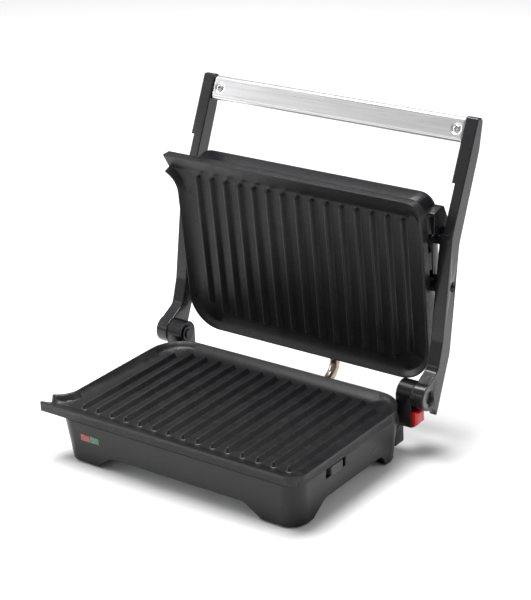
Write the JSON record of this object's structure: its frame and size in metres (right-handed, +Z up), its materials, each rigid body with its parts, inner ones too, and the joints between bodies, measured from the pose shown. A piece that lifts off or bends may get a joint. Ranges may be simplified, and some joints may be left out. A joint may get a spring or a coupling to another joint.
{
  "type": "panini press",
  "caption": "Open contact grill with ribbed non-stick plates, a front grease spout, a floating lid on two arms, a stainless bar handle and a red release button.",
  "frame": {"origin": "on the table, under the middle of the open press's overall box", "axes": "+X to the press's right as seen from its front, +Y to the back where the hinge is, +Z up"},
  "size_m": [0.271, 0.2477, 0.2624],
  "materials": {
    "housing_black": "satin moulded ABS",
    "lid_black": "smooth moulded plastic",
    "arm_black": "smooth moulded plastic",
    "handle_core_black": "moulded plastic",
    "heat_ring_black": "heat-proof moulded plastic",
    "nonstick_plate": "cast, with a speckled non-stick coating",
    "galvanised_sheet": "plain sheet",
    "screw_steel": "zinc plated",
    "spring_steel": "plain",
    "dark_steel": "blackened",
    "heater_steel": "heat-tinted tube",
    "reflector_aluminium": "bright sheet",
    "foot_rubber": "matt",
    "terminal_white": "ceramic-like moulding",
    "board_green": "laminate",
    "lens_red": "translucent",
    "lens_green": "translucent",
    "conduit_metal": "sleeved, warm metal",
    "handle_stainless": "polished stainless sheet",
    "button_red": "smooth moulded plastic",
    "latch_black": "moulded plastic"
  },
  "bodies": {
    "base": {"base_housing": "housing_black", "base_bottom_cover": "galvanised_sheet", "base_cover_screws": "screw_steel", "rubber_feet": "foot_rubber", "lower_seat_ring": "heat_ring_black", "lower_grill_plate": "nonstick_plate", "lower_heating_element": "heater_steel", "lower_reflector": "reflector_aluminium", "thermostat": "spring_steel", "thermal_fuse": "spring_steel", "terminal_block": "terminal_white", "lamp_board": "board_green", "red_lens": "lens_red", "green_lens": "lens_green", "cord_inlet_bush": "heat_ring_black", "left_hinge_bracket": "housing_black", "right_hinge_bracket": "housing_black", "bracket_screws": "screw_steel", "release_spring": "spring_steel", "lower_latch_spring": "spring_steel", "supply_conduit": "conduit_metal", "conduit_bush": "heat_ring_black"},
    "hinge_pins": {"left_hinge_pin": "dark_steel", "right_hinge_pin": "dark_steel", "hinge_clips": "dark_steel"},
    "arms": {"left_arm": "arm_black", "right_arm": "arm_black", "handle_bar": "handle_stainless", "handle_core": "handle_core_black", "handle_screws": "screw_steel"},
    "lid": {"upper_housing": "lid_black", "upper_seat_ring": "heat_ring_black", "upper_grill_plate": "nonstick_plate", "upper_heating_element": "heater_steel", "upper_reflector": "reflector_aluminium", "left_pivot_pin": "dark_steel", "right_pivot_pin": "dark_steel", "lid_screws": "screw_steel", "upper_latch_spring": "spring_steel"},
    "button": {"release_button": "button_red"},
    "lower_latch": {"lower_plate_latch": "latch_black"},
    "upper_latch": {"upper_plate_latch": "latch_black"}
  },
  "joints": [
    {"name": "lid_lay_flat", "type": "hinge", "parent": "base", "child": "hinge_pins", "pos_m": [0, 0.04015, 0.052], "axis": [1, 0, 0], "range_deg": [-81, 0]},
    {"name": "lid_close", "type": "hinge", "parent": "hinge_pins", "child": "arms", "pos_m": [0, 0.04015, 0.052], "axis": [1, 0, 0], "range_deg": [0, 102.75], "deforming": ["supply_conduit"]},
    {"name": "lid_float", "type": "hinge", "parent": "arms", "child": "lid", "pos_m": [0, 0.07605, 0.1345], "axis": [1, 0, 0], "range_deg": [-17.4, 0]},
    {"name": "release_press", "type": "slide", "parent": "base", "child": "button", "axis": [-1, 0, 0], "range_m": [0, 0.005], "stiffness_N_per_m": 600, "springref_m": -0.002, "deforming": ["release_spring"]},
    {"name": "lower_latch_press", "type": "slide", "parent": "base", "child": "lower_latch", "axis": [-1, 0, 0], "range_m": [0, 0.003], "stiffness_N_per_m": 500, "springref_m": -0.002, "deforming": ["lower_latch_spring"]},
    {"name": "upper_latch_press", "type": "slide", "parent": "lid", "child": "upper_latch", "axis": [-1, 0, 0], "range_m": [0, 0.003], "stiffness_N_per_m": 500, "springref_m": -0.002, "deforming": ["upper_latch_spring"]}
  ],
  "couplings": [
    {"joint": "lid_float", "follows": "lid_close", "ratio": -0.16889}
  ]
}
